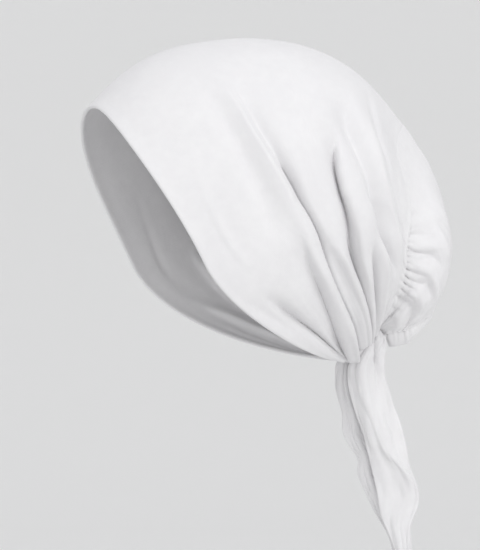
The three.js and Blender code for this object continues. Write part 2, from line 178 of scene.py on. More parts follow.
# Folds of the pouch: the place along s where they start and end, then start and end in v, the
# lift and the half width along s
POUCH_FOLDS = {
    "left fork": (0.47, 0.42, 1.01, 1.20, 0.6, 0.016),
    "left brow": (0.30, 0.26, 1.20, 1.75, 1.2, 0.050),
    "left dip": (0.50, 0.28, 1.10, 1.55, -1.5, 0.032),
    "left cheek": (0.56, 0.40, 1.05, 1.60, 1.8, 0.040),
    "left dimple": (0.63, 0.50, 1.10, 1.50, -1.7, 0.028),
    "left roll": (0.67, 0.60, 1.08, 1.75, 1.8, 0.034),
    "left hollow": (0.76, 0.66, 1.16, 1.62, -2.2, 0.034),
    "left bulge": (0.80, 0.74, 1.10, 1.70, 2.0, 0.030),
    "left tuck": (0.86, 0.80, 1.20, 1.95, -2.0, 0.030),
    "left foot": (0.91, 0.88, 1.15, 1.95, 1.4, 0.030),
    "middle": (0.05, 0.03, 1.10, 1.70, 1.3, 0.060),
    "middle dip": (-0.05, -0.08, 1.10, 1.65, -1.3, 0.040),
    "right brow": (-0.22, -0.26, 1.05, 1.65, 1.5, 0.050),
    "right crease": (-0.42, -0.26, 1.02, 1.55, -1.6, 0.026),
    "right cheek": (-0.52, -0.42, 1.08, 1.75, 1.8, 0.045),
    "right dimple": (-0.63, -0.54, 1.10, 1.60, -1.8, 0.030),
    "right roll": (-0.72, -0.66, 1.10, 1.85, 1.9, 0.036),
    "right tuck": (-0.82, -0.77, 1.15, 1.90, -2.0, 0.030),
    "right foot": (-0.89, -0.86, 1.15, 1.95, 1.4, 0.030),
}
POUCH_SLACK, POUCH_DROP_IN, POUCH_WANDER = 1.2, 0.6, 0.008
HEM_OVERLAP, HEM_BACK, HEM_NEAR_KNOT = 0.8, 6.4, 10.2
HEM_ROLL_BACK, HEM_ROLL_NEAR_KNOT = 3.0, 4.6
HEM_HALF, STITCH_LEVEL, SEAM_THREAD_IN = 1.9, 0.62, 0.75
# The waist that the stitching draws in the casing: its depth, and its half width as a sine
HEM_WAIST, WAIST_HALF = 0.55, 0.14
# The columns of the pouch's grid that the hem's casing and the seam's thread follow
HEM_COLUMN, SEAM_COLUMN = -3, 2

# A tie end is a strap with one crease. Each row is a level in millimetres: the Y of its fore
# border, crease and back border, and then the X of each.
TAIL_COLUMNS = ("fore_y", "crease_y", "back_y", "fore_x", "crease_x", "back_x")
RIGHT_TAIL = (
    (-181.5, 82, 83, 84.6, 9, 10.5, 9),
    (-184.8, 81, 82.2, 85.8, 11, 12.8, 11.5),
    (-189, 79.6, 81, 87.9, 11.6, 14, 12.8),
    (-193, 74.6, 77, 88.3, 11, 14.6, 12.8),
    (-196.5, 71.6, 74, 88.6, 9.5, 14.8, 12.4),
    (-200, 69.4, 72, 88, 8, 14.6, 11.8),
    (-206, 67.9, 70.1, 88.2, 4.5, 13.8, 11),
    (-213.5, 67.6, 70.6, 89.8, 3.5, 13.2, 9.6),
    (-225, 68.8, 73.6, 95, 4, 12.8, 8),
    (-238, 72.4, 78.6, 99, 4.5, 13, 8),
    (-249, 76.7, 82.8, 101.7, 4, 13.6, 9.5),
    (-262, 80.7, 90, 105.1, 4, 13.8, 10),
    (-274, 84.3, 101.4, 108.2, 3.5, 14, 11.5),
    (-288, 88, 109.6, 113, 3.5, 13.6, 12),
    (-300, 89.8, 108.8, 111.1, 4, 12.6, 11.6),
    (-311, 93.6, 105, 107.2, 5, 12, 11),
    (-324, 97.6, 105.2, 107, 9.5, 12, 11.2),
    (-338, 102.6, 104.6, 106.2, 10.5, 12, 11.5),
)
LEFT_TAIL = (
    (-196, 68, 71, 74, 0.5, 2.5, 1.5),
    (-204, 62.4, 66.6, 72, -3, 0.5, -2),
    (-212, 62.9, 66, 73.5, -6, -0.5, -4),
    (-220, 63.4, 67, 75.9, -8, -1.5, -5),
    (-229, 65.5, 69.9, 79.5, -8, -2, -5),
    (-239, 68.5, 73.6, 84.4, -8, -2, -5),
    (-249, 70.6, 77.4, 89.5, -11, -4.5, -7),
    (-258, 74.3, 81.4, 92.7, -10, -4, -6),
    (-268, 80, 86, 96.6, -9, -3.5, -5),
    (-276, 79.5, 87.2, 99.4, -9, -2.5, -5),
    (-288, 84.7, 91.8, 102.2, -8, -1.5, -4),
    (-302, 91.3, 96.9, 104.8, -6, -0.5, -3),
    (-314, 97.9, 101.5, 106, -3.5, 0.8, -1.2),
    (-327, 102.2, 103.8, 105.8, -2, 0.5, -0.5),
)
# The valley that runs down the right tie end from the knot: levels, then Y, depth and half width
STRAP_VALLEY = (
    (-184, 80, 2.6, 1.6),
    (-195, 80.6, 2.8, 1.6),
    (-205, 83, 3.2, 2.2),
    (-213, 84.2, 2.6, 2.6),
    (-224, 85, 1, 3.2),
    (-236, 87, 0, 3.2),
    (-340, 90, 0, 2.6),
)

# The photograph's view: the lens looks level from the wearer's left, forward of a pure profile
VIEW_TURN = math.radians(22.0)
VIEW_DISTANCE = 1.3
VIEW_TARGET = Vector((0.0, -0.0068, -0.1477))
VIEW_LENS = 135.07
SENSOR_WIDTH = 36.0
# Points along a stitch and round it, the thread's radius at a tip beside the swell of 1 between
# the tips, and the scale of both for a thread of thickness 1
STITCH_POINTS, THREAD_SIDES, THREAD_TIP, THREAD_RADIUS = 7, 6, 0.35, 0.37
# Soft boxes: degrees to the lens's right, degrees up from the object, and the share of the power
SOFT_BOXES = {"right_box": (46, 12, 0.8), "high_box": (-4, 40, 1.0)}
BOX_DISTANCE, BOX_SIZE = 1.5, 1.0
SKY_COLOUR = (0.975, 0.98, 1.0, 1.0)


def smooth(x, low, high):
    """A soft step from 0 at low to 1 at high."""
    t = np.clip((np.asarray(x, float) - low) / (high - low), 0.0, 1.0)
    return t * t * (3.0 - 2.0 * t)


def blend(first, last, share):
    """A value between first and last."""
    return first + (last - first) * share


def unit(vectors):
    """Vectors scaled to a length of 1."""
    length = np.linalg.norm(vectors, axis=-1, keepdims=True)
    return vectors / np.maximum(length, 1e-12)


def spline(places, rows):
    """A natural cubic spline through rows, as a function of the place."""
    places, rows = np.asarray(places, float), np.asarray(rows, float)
    span = np.diff(places)
    count = len(places)
    system = np.eye(count)
    right = np.zeros(rows.shape)
    for i in range(1, count - 1):
        system[i, i - 1:i + 2] = span[i - 1], 2 * (span[i - 1] + span[i]), span[i]
        right[i] = 6 * ((rows[i + 1] - rows[i]) / span[i] - (rows[i] - rows[i - 1]) / span[i - 1])
    bend = np.linalg.solve(system, right)

    def at(place):
        place = np.asarray(place, float)
        i = np.clip(np.searchsorted(places, place, side="right") - 1, 0, count - 2)
        shape = i.shape + (1,) * (rows.ndim - 1)
        t, h = (place - places[i]).reshape(shape), span[i].reshape(shape)
        slope = (rows[i + 1] - rows[i]) / h - h * (2 * bend[i] + bend[i + 1]) / 6
        return rows[i] + slope * t + bend[i] / 2 * t ** 2 + (bend[i + 1] - bend[i]) / (6 * h) * t ** 3

    return at


loops_at = spline(list(LOOPS), list(LOOPS.values()))


def cap_point(s, v):
    """Points of the smooth cap, in millimetres."""
    s, v = np.broadcast_arrays(np.asarray(s, float), np.asarray(v, float))
    loop = dict(zip(LOOP_COLUMNS, np.moveaxis(loops_at(v.ravel()).reshape(v.shape + (-1,)), -1, 0)))
    side = np.abs(s)
    run_y, run_z = loop["side_y"] - loop["crown_y"], loop["side_z"] - loop["crown_z"]
    angle = np.clip(side / SIDE_S, 0, 1) * np.pi / 2
    share = 1 - np.cos(angle)
    arch = (loop["half_width"] * np.sin(angle),
            loop["crown_y"] + run_y * share - loop["bow"] * np.sin(2 * angle) ** 2,
            loop["crown_z"] + run_z * share)
    t = np.clip((side - SIDE_S) / (1 - SIDE_S), 0, 1)
    drop_y, drop_z = loop["knot_y"] - loop["side_y"], loop["knot_z"] - loop["side_z"]
    chord = np.hypot(drop_y, drop_z)
    start = chord * ARCH_SLOPE / np.hypot(run_y, run_z)
    down = np.radians(loop["approach"])
    leave, arrive, part = t ** 3 - 2 * t ** 2 + t, t ** 3 - t ** 2, 3 * t ** 2 - 2 * t ** 3
    narrow = np.cos(np.pi / 2 * t ** RUN_BEND)
    run = (loop["knot_x"] + (loop["half_width"] - loop["knot_x"]) * narrow,
           loop["side_y"] + drop_y * part + run_y * start * leave + np.cos(down) * chord * arrive,
           loop["side_z"] + drop_z * part + run_z * start * leave - np.sin(down) * chord * arrive)
    x, y, z = (np.where(side <= SIDE_S, a, b) for a, b in zip(arch, run))
    tuck = np.clip((side - 1) / TUCK_LENGTH, 0, 1)
    x = x + (TUCK_X - x) * tuck
    return np.stack([np.sign(s) * x, y, z], axis=-1)


def spread_at(s, v):
    """Millimetres between loops that lie 1 of v apart."""
    step = 1e-3
    return np.linalg.norm(cap_point(s, v + step) - cap_point(s, v - step), axis=-1) / (2 * step)


def normals_of(grid):
    """Outward directions of a grid of points."""
    return unit(np.cross(np.gradient(grid, axis=0), np.gradient(grid, axis=1)))


def arc_length(grid, axis):
    """Millimetres along one way of a grid."""
    step = np.linalg.norm(np.diff(grid, axis=axis), axis=-1)
    total = np.cumsum(step, axis=axis)
    start = np.zeros_like(np.take(total, [0], axis=axis))
    return np.concatenate([start, total], axis=axis)


def soft_noise(u, w, seed):
    """Smooth noise from -1 to 1 over a plane, one swell a unit."""
    size = 61
    table = np.random.default_rng(seed).uniform(-1, 1, (size, size))
    iu, iw = np.floor(u).astype(int), np.floor(w).astype(int)
    fu, fw = u - iu, w - iw
    fu, fw = fu * fu * (3 - 2 * fu), fw * fw * (3 - 2 * fw)

    def pick(a, b):
        return table[(iu + a) % size, (iw + b) % size]

    near = pick(0, 0) * (1 - fu) + pick(1, 0) * fu
    far = pick(0, 1) * (1 - fu) + pick(1, 1) * fu
    return near * (1 - fw) + far * fw


def folds_at(s, v, spread):
    """How far the front panel's folds stand off the smooth cap and lean along it, in millimetres."""
    side = np.abs(s)
    lift, lean = np.zeros(s.shape), np.zeros(s.shape)
    station = np.clip(side, FOLD_STATIONS[0], 1.0)
    for table, mine in ((LEFT_FOLDS, s > 0), (RIGHT_FOLDS, s <= 0)):
        for number, (name, row) in enumerate(table.items()):
            start, end, *places, height, fore, aft = row
            fore, aft = fore / FOLD_PARTS, aft / FOLD_PARTS
            place = spline(FOLD_STATIONS, np.array(places) / FOLD_PARTS)(station)
            place = place + FOLD_WANDER * soft_noise(side * 9, np.full(s.shape, number + 0.5), 5)
            away = v - place
            profile = np.exp(-(away / np.where(away < 0, fore, aft)) ** 2)
            ramp = smooth(side, start, start + FOLD_RAMP) * (1 - smooth(side, end - FOLD_RAMP, end))
            lift += height * ramp * profile * mine
            if name in LEANS:
                upper, lower = LEANS[name]
                shift = blend(upper, lower, smooth(side, start + FOLD_RAMP, 0.9))
                width = np.where(shift > 0, fore, aft)
                lean += shift * ramp * mine * np.exp(-((away + np.sign(shift) * width) / width) ** 2)
    grip = np.minimum(1.0, spread / FULL_SPREAD)
    bulge = 1 + KNOT_BULGE * smooth(side, 0.78, 0.96)
    return lift * bulge * grip ** 0.8, lean * grip


def seam_run(s):
    """Millimetres along the seam from the crown's middle, below zero on the wearer's right."""
    places = np.linspace(-1.1, 1.1, 1101)
    run = arc_length(cap_point(places, SEAM_V)[:, None], 0)[:, 0]
    return np.interp(s, places, run - np.interp(0.0, places, run))


def seam_gathers():
    """Every gather of the seam: its place in millimetres, slant, reach, depth and half width."""
    draw = np.random.default_rng(22)
    rows = [(float(seam_run(s)), slant, reach, depth, width)
            for s, slant, reach, depth, width in LEFT_GATHERS]
    drawn_until = rows[0][0] - GATHER_GAP
    place = float(seam_run(-0.96))
    while place < drawn_until:
        lower = float(smooth(abs(place), seam_run(0.42), seam_run(0.62)))
        slant = draw.uniform(-0.1, 0.1) + lower * draw.uniform(0.0, 0.6)
        size = 0.06 + 0.94 * lower
        rows.append((place, slant, draw.uniform(5, 17), size * draw.uniform(1.2, 2.6),
                     draw.uniform(0.7, 1.3)))
        place += GATHER_GAP * draw.uniform(0.6, 1.4)
    return rows


def grooves(along, below, rows, spread=GATHER_SPREAD):
    """Depth of gathers, given millimetres along a seam and away from it."""
    total = np.zeros(along.shape)
    below = np.maximum(below, 0)
    for place, slant, reach, depth, width in rows:
        away = (along - place - slant * below) / (width * (1 + below / spread))
        total += depth * np.exp(-away ** 2) * np.exp(-(below / reach) ** 2)
    return total


def drawn_grooves(along, below, length, gap, depth, reach, seed):
    """Depth of small gathers that are drawn at random, such as those of the elastic hem."""
    draw = np.random.default_rng(seed)
    rows, place = [], -gap
    while place < length + gap:
        place += gap * draw.uniform(0.6, 1.4)
        rows.append((place, draw.uniform(-0.15, 0.15), reach * draw.uniform(0.4, 1.6),
                     depth * draw.uniform(0.4, 1.3), gap * draw.uniform(0.16, 0.3)))
    return grooves(along, below, rows)


class Cloth:
    """A closed wall of cloth built from a grid of points in millimetres."""

    def __init__(self, grid, thickness, rim_steps=4):
        rows, columns = grid.shape[:2]
        normal = normals_of(grid)
        half = (np.broadcast_to(thickness, (rows, columns)) / 2)[..., None]
        ids = np.arange(rows * columns).reshape(rows, columns)
        a, b, c, d = ids[:-1, :-1], ids[1:, :-1], ids[1:, 1:], ids[:-1, 1:]
        outer = np.stack([a, b, c, d], -1).reshape(-1, 4)
        inner = np.stack([a, d, c, b], -1).reshape(-1, 4) + rows * columns
        row = np.concatenate([np.arange(rows - 1), np.full(columns - 1, rows - 1),
                              np.arange(rows - 1, 0, -1), np.zeros(columns - 1, int)])
        column = np.concatenate([np.zeros(rows - 1, int), np.arange(columns - 1),
                                 np.full(rows - 1, columns - 1), np.arange(columns - 1, 0, -1)])
        inside = grid[np.clip(row, 1, rows - 2), np.clip(column, 1, columns - 2)]
        edge, edge_normal, edge_half = grid[row, column], normal[row, column], half[row, column]
        out = edge - inside
        out = unit(out - edge_normal * np.sum(out * edge_normal, -1, keepdims=True))
        rings, points = [ids[row, column]], [grid + normal * half, grid - normal * half]
        start = 2 * rows * columns
        for step in range(1, rim_steps):
            turn = math.pi * step / rim_steps
            ring = edge + edge_half * (edge_normal * math.cos(turn) + out * math.sin(turn))
            points.append(ring)
            rings.append(np.arange(start, start + len(row)))
            start += len(row)
        rings.append(ids[row, column] + rows * columns)
        faces = [outer, inner]
        for first, second in zip(rings, rings[1:]):
            ahead, behind = np.roll(first, -1), np.roll(second, -1)
            faces.append(np.stack([ahead, first, second, behind], -1))
        self.points = np.concatenate([p.reshape(-1, 3) for p in points])
        self.faces = np.concatenate(faces).tolist()
        flat = np.stack([arc_length(grid, 0), arc_length(grid, 1)], -1)
        edge_flat = flat[row, column]
        self.flat = np.concatenate([flat.reshape(-1, 2)] * 2 + [edge_flat] * (rim_steps - 1))

    def object(self, name, material):
        """The Blender object, with its flat cut as the UV map in metres."""
        return mesh_object(name, self.points, self.faces, self.flat, material)


def placed(name, data):
    """A new object with this mesh, light or camera, linked to the scene."""
    made = bpy.data.objects.new(name, data)
    bpy.context.scene.collection.objects.link(made)
    return made


def mesh_object(name, points, faces, flat, material):
    """A smooth mesh from points in millimetres, with flat as its UV map."""
    mesh = bpy.data.meshes.new(name)
    mesh.from_pydata((points * MM).tolist(), [], faces)
    layer = mesh.uv_layers.new(name="flat_cut")
    corner = np.empty(len(mesh.loops), dtype=np.int32)
    mesh.loops.foreach_get("vertex_index", corner)
    layer.uv.foreach_set("vector", (flat[corner] * MM).astype(np.float32).ravel())
    mesh.shade_smooth()
    mesh.materials.append(material)
    mesh.update()
    return placed(name, mesh)


class Tube:
    """A closed tube from rings of points in millimetres, with flat ends or joined in a circle."""

    def __init__(self, rings, joined=False):
        count, sides = rings.shape[:2]
        ids = np.arange(count * sides).reshape(count, sides)
        first = ids if joined else ids[:-1]
        second = np.roll(ids, -1, axis=0) if joined else ids[1:]
        quads = np.stack([first, second, np.roll(second, -1, 1), np.roll(first, -1, 1)], -1)
        self.faces = quads.reshape(-1, 4).tolist()
        if not joined:
            self.faces += [ids[0].tolist(), ids[-1, ::-1].tolist()]
        self.points = rings.reshape(-1, 3)
        self.flat = np.stack([arc_length(rings, 0), arc_length(rings, 1)], -1).reshape(-1, 2)

    def object(self, name, material):
        """The Blender object, with the lengths along and round it as the UV map in metres."""
        return mesh_object(name, self.points, self.faces, self.flat, material)


def front_panel_grid(rows=262, columns=173):
    """The front panel's middle surface, and v of its points."""
    u = np.linspace(-1, 1, rows)
    s = ((1 + TUCK_LENGTH) * (1.28 * u - 0.28 * u ** 3))[:, None]
    edge = np.array([0.0, 0.004, 0.009, 0.015, 0.022])
    v = np.concatenate([edge, np.linspace(0.03, 1.0, columns)])[None, :]
    s, v = np.broadcast_arrays(s, v)
    base = cap_point(s, v)
    spread = spread_at(s, v)
    side = np.abs(s)
    lift, lean = folds_at(s, v, spread)
    grip = np.minimum(1, spread / FULL_SPREAD)
    away = smooth(side, 0.1, 0.45)
    # The cloth's own unevenness: broad over the sides, small all over, and long by the knot
    lift += 0.45 * away * grip * soft_noise(s * 5.0, v * 22.0, 11)
    lift += 0.22 * grip * soft_noise(s * 9.0, v * 13.0, 12)
    lift += 0.40 * smooth(side, 0.62, 0.9) * grip ** 0.7 * soft_noise(s * 6.0, v * 48.0, 13)
    from_seam = (1 - v) * spread
    lower = smooth(side, 0.40, 0.56) * (1 - smooth(side, 0.9, 1.0))
    scallops = grooves(seam_run(s), from_seam * 2.4, seam_gathers())
    lift += lower * (1.15 * np.exp(-(from_seam / 2.2) ** 2) - 0.42 * scallops)
    lift += 0.25 * np.exp(-(from_seam / 2.0) ** 2) * (1 - lower)
    along_v = unit(np.gradient(base, axis=1))
    return base + normals_of(base) * lift[..., None] + along_v * lean[..., None], v


def back_pouch_grid(rows=500, columns=85):
    """The pouch's middle surface from under the panel's rear edge to the hem, and s of its points."""
    s = np.linspace(-1.0, 1.0, rows)[:, None]
    top = np.array([0.975, 0.985, 0.993, 1.0, 1.006])
    v = np.concatenate([top, np.linspace(1.014, HEM_V + 0.02, columns)])[None, :]
    s, v = np.broadcast_arrays(s, v)
    base = cap_point(s, np.maximum(v, SEAM_V + 1e-4))
    under = cap_point(s, np.minimum(v, SEAM_V - 1e-4))
    base = np.where((v < SEAM_V)[..., None], under, base)
    side = np.abs(s)
    spread = spread_at(s, v)
    grip = np.minimum(1, spread / POUCH_SPREAD)
    below = np.clip((v - SEAM_V), 0, None) * spread
    lower = smooth(side, 0.40, 0.56)
    lift = -(SEAM_SINK + SEAM_SINK_LOWER * lower) * (1 - smooth(below, -0.2, 1.6))
    lift += GATHER_PUFF * (0.25 + 0.75 * lower) * grip * np.exp(-((below - PUFF_AT) / PUFF_REACH) ** 2)
    lift -= grip ** 0.5 * grooves(seam_run(s), below, seam_gathers()) * (1 - smooth(side, 0.95, 1.0))
    for start, end, top_v, low_v, height, width in POUCH_FOLDS.values():
        share = np.clip((v - top_v) / (low_v - top_v), 0, 1)
        wander = POUCH_WANDER * soft_noise(v * 6, np.full(v.shape, start * 9), 31)
        place = blend(start, end, share) + wander
        reach = smooth(v, top_v, top_v + 0.15) * (1 - smooth(v, low_v - 0.15, low_v + 0.08))
        lift += height * reach * np.exp(-((s - place) / width) ** 2)
    lift += 0.5 * soft_noise(s * 14, v * 7, 33) * smooth(v, 1.05, 1.2)
    lift += 0.3 * soft_noise(s * 30, v * 5, 34) * smooth(v, 1.4, 1.9)
    hem_along = arc_length(base, 0)[:, -1:] + 0 * v
    above_hem = np.clip(HEM_V - v, 0, None) * spread
    lift -= drawn_grooves(hem_along, above_hem, hem_along[-1, 0], 4.0, 0.9, 7.0, 35)
    lift -= POUCH_SLACK * smooth(below, 6.0, 30.0) * (1 - smooth(side, 0.7, 0.95))
    lift -= POUCH_DROP_IN * smooth(v, 1.80, 2.02) * (1 - smooth(side, 0.80, 1.0))
    return base + normals_of(base) * (lift * smooth(1 - side, 0.0, 0.05))[..., None], s


def hem_path(s):
    """The pouch's lower edge, with its small waves smoothed, and the level directions out of it."""
    grid, grid_s = back_pouch_grid()
    reach = 25
    window = np.hanning(2 * reach + 1)
    edge = np.pad(grid[:, HEM_COLUMN], ((reach, reach), (0, 0)), mode="edge")
    edge = np.stack([np.convolve(edge[:, k], window / window.sum(), "valid") for k in range(3)], -1)
    path = np.stack([np.interp(s, grid_s[:, 0], edge[:, k]) for k in range(3)], -1)
    tangent = np.gradient(path, axis=0)
    tangent[:, 2] = 0
    tangent = unit(tangent)
    return path, np.stack([-tangent[:, 1], tangent[:, 0], 0 * s], -1)


def hem_rings(count=460, sides=28):
    """Rings of the elastic casing under the pouch's edge, and a path along its stitching."""
    s = np.linspace(-0.985, 0.985, count)
    path, out = hem_path(s)
    side = np.abs(s)
    height = blend(HEM_BACK, HEM_NEAR_KNOT, smooth(side, 0.1, 0.7))
    roll_in = blend(HEM_ROLL_BACK, HEM_ROLL_NEAR_KNOT, smooth(side, 0.4, 0.8))
    along = arc_length(path[:, None], 0)[:, 0]
    turn = np.linspace(0, 2 * np.pi, sides, endpoint=False)
    rings = np.empty((len(s), sides, 3))
    upper = drawn_grooves(along, 0 * along, along[-1], 3.6, 0.6, 9.0, 41)
    lower = drawn_grooves(along, 0 * along, along[-1], 4.8, 0.25, 9.0, 42)
    centre = path + np.stack([0 * s, 0 * s, HEM_OVERLAP - height / 2], -1)
    for j, angle in enumerate(turn):
        low = (1 - math.sin(angle)) / 2
        wave = upper * (1 - low) + lower * low
        across = np.sign(math.cos(angle)) * abs(math.cos(angle)) ** 0.6
        waist = HEM_WAIST * math.exp(-((math.sin(angle) - STITCH_LEVEL) / WAIST_HALF) ** 2)
        half = -(HEM_HALF - 0.8 * wave - waist) * across - roll_in * low
        up = height / 2 * math.sin(angle) * (1 - 0.05 * wave)
        rings[:, j] = centre + out * half[:, None] + np.stack([0 * s, 0 * s, up], -1)
    stitched = turn[np.argmin(np.abs(np.sin(turn) - STITCH_LEVEL) + 2 * (np.cos(turn) > 0))]
    seat = rings[:, int(round(stitched / (turn[1] - turn[0])))] + out * 0.1
    return rings, seat


def knot_rings(count=150, sides=64):
    """The strap wound round the gathers: a band about the X axis with creases that wander."""
    turn = np.linspace(0, 2 * np.pi, count, endpoint=False)
    rings = np.empty((count, sides, 3))
    for j in range(sides):
        angle = 2 * math.pi * j / sides
        across, out = math.sin(angle), math.cos(angle)
        x = KNOT_HALF_WIDTH * np.sign(across) * abs(across) ** 0.8
        radius = KNOT_RADIUS + KNOT_BAND * np.sign(out) * abs(out) ** 0.75 + 0 * turn
        on_outer_face = out > -0.2
        if on_outer_face:
            for centre, depth, width in KNOT_CREASES:
                place = centre + 1.6 * np.sin(turn + centre) + 0.7 * np.sin(2 * turn + 1.7 * centre)
                radius -= depth * np.exp(-((x - place) / width) ** 2)
        radius += 0.7 * np.cos(3 * turn + 0.6) + 0.5 * soft_noise(turn * 3, np.full(count, x / 3), 51)
        rings[:, j, 0] = x + 0.5 * np.sin(2 * turn + 0.5)
        rings[:, j, 1] = KNOT_Y + radius * np.cos(turn)
        rings[:, j, 2] = KNOT_Z + radius * np.sin(turn)
    return rings


def tail_grid(table, seed, valley=(), rows=190, columns=56):
    """The middle surface of a tie end, from its top row to its tip."""
    place = np.linspace(0, len(table) - 1, rows)
    borders = spline(np.arange(len(table)), [row[1:] for row in table])(place)
    level = dict(zip(TAIL_COLUMNS, borders.T[..., None]))
    height = spline(np.arange(len(table)), [[row[0]] for row in table])(place)[:, 0]
    across = np.linspace(-1, 1, columns)
    soft = np.sqrt(across ** 2 + 0.012)
    fore, back = (soft - across) / 2, (soft + across) / 2
    crease = 1 - fore - back
    grid = np.empty((rows, columns, 3))
    for axis, letter in enumerate("xy"):
        a, b, c = (level[line + letter] for line in ("fore_", "crease_", "back_"))
        grid[..., axis] = a * fore + b * crease + c * back
    grid[..., 2] = height[:, None]
    along = arc_length(grid, 0)
    run = along[:, columns // 2][:, None] + 0 * across
    folds = soft_noise(run / 26.0 + across * 1.2, across * 3.4 + run / 70.0, seed) * 1.5
    folds += soft_noise(run / 11.0, across * 6.5 + run / 34.0, seed + 1) * 0.6
    calm = smooth(place, 0.3, 2.5)[:, None]
    lift = folds * (0.35 + 0.65 * calm)
    if valley:
        levels, *values = np.array(valley[::-1]).T
        middle, depth, width = (np.interp(grid[..., 2], levels, value) for value in values)
        lift -= depth * np.exp(-((grid[..., 1] - middle) / width) ** 2)
    return grid + normals_of(grid) * lift[..., None]


class Wire:
    """A shader socket that takes part in Python arithmetic."""

    def __init__(self, shader, socket):
        self.shader, self.socket = shader, socket

    def maths(self, operation, *values):
        return self.shader.node("ShaderNodeMath", {"operation": operation},
                                dict(enumerate((self, *values)))).wire()

    def __add__(self, other):
        return self.maths("ADD", other)

    def __sub__(self, other):
        return self.maths("SUBTRACT", other)

    def __rsub__(self, other):
        return self.shader.node("ShaderNodeMath", {"operation": "SUBTRACT"}, {0: other, 1: self}).wire()

    def __mul__(self, other):
        return self.maths("MULTIPLY", other)

    __radd__, __rmul__ = __add__, __mul__

    def sine(self):
        return self.maths("SINE")

    def clamp(self):
        return self.shader.node("ShaderNodeClamp", {}, {"Value": self}).wire()


class Made:
    """A node that was made, whose outputs are wires."""

    def __init__(self, shader, node):
        self.shader, self.node = shader, node

    def wire(self, name=0):
        return Wire(self.shader, self.node.outputs[name])


class Shader:
    """One material's node tree."""

    def __init__(self, name):
        self.material = bpy.data.materials.new(name)
        self.material.use_nodes = True
        self.tree = self.material.node_tree
        self.tree.nodes.clear()

    def node(self, kind, settings=None, sockets=None):
        """A node with its settings, and the values or links of its sockets."""
        node = self.tree.nodes.new(kind)
        for key, value in (settings or {}).items():
            setattr(node, key, value)
        for key, value in (sockets or {}).items():
            if isinstance(value, Wire):
                self.tree.links.new(value.socket, node.inputs[key])
            else:
                node.inputs[key].default_value = value
        return Made(self, node)


def jersey(name, colour, shade):
    """Fine white jersey: knitted ribs along the cut, a soft fuzz, and small creases."""
    shader = Shader(name)
    cut = shader.node("ShaderNodeUVMap", {"uv_map": "flat_cut"}).wire()
    place = shader.node("ShaderNodeTexCoord").wire("Object")
    cut_xy = shader.node("ShaderNodeSeparateXYZ", {}, {0: cut})
    rib_pitch, stitch_pitch = 0.00085, 0.0011
    wales = (cut_xy.wire("Y") * (2 * math.pi / rib_pitch)).sine()
    loops = (cut_xy.wire("X") * (2 * math.pi / stitch_pitch)).sine()
    knit = wales * (loops * 0.35 + 0.65)

    def noise(scale, detail, roughness):
        return shader.node("ShaderNodeTexNoise", {}, {
            "Vector": place, "Scale": scale, "Detail": detail, "Roughness": roughness}).wire("Fac")

    fuzz, small, broad = noise(1400.0, 2.0, 0.6), noise(160.0, 3.0, 0.55), noise(26.0, 3.0, 0.5)
    tint = (broad * 0.6 + small * 0.4 - 0.42) * 4.0
    base = shader.node("ShaderNodeMix", {"data_type": "RGBA"}, {
        "Factor": tint.clamp(), 6: (*shade, 1.0), 7: (*colour, 1.0)}).wire(2)
    relief = knit * 0.30 + fuzz * 0.5
    bump = shader.node("ShaderNodeBump", {}, {"Strength": 0.35, "Distance": 0.00012, "Height": relief})
    creases = shader.node("ShaderNodeBump", {}, {"Strength": 0.22, "Distance": 0.0007,
                                                "Height": small, "Normal": bump.wire()})
    surface = shader.node("ShaderNodeBsdfPrincipled", {}, {
        "Base Color": base, "Roughness": fuzz * 0.1 + 0.82, "Normal": creases.wire(),
        "Sheen Weight": 0.18, "Sheen Roughness": 0.5, "Specular IOR Level": 0.25})
    shader.node("ShaderNodeOutputMaterial", {}, {"Surface": surface.wire()})
    return shader.material


def paper(name, colour, roughness, glow):
    """A matt paper surface with a faint tooth and a little light of its own."""
    shader = Shader(name)
    place = shader.node("ShaderNodeTexCoord").wire("Object")
    tooth = shader.node("ShaderNodeTexNoise", {}, {"Vector": place, "Scale": 300.0}).wire("Fac")
    bump = shader.node("ShaderNodeBump", {}, {"Strength": 0.05, "Distance": 0.0002, "Height": tooth})
    surface = shader.node("ShaderNodeBsdfPrincipled", {}, {
        "Base Color": (*colour, 1.0), "Roughness": roughness, "Normal": bump.wire(),
        "Emission Color": (*colour, 1.0), "Emission Strength": glow})
    shader.node("ShaderNodeOutputMaterial", {}, {"Surface": surface.wire()})
    return shader.material


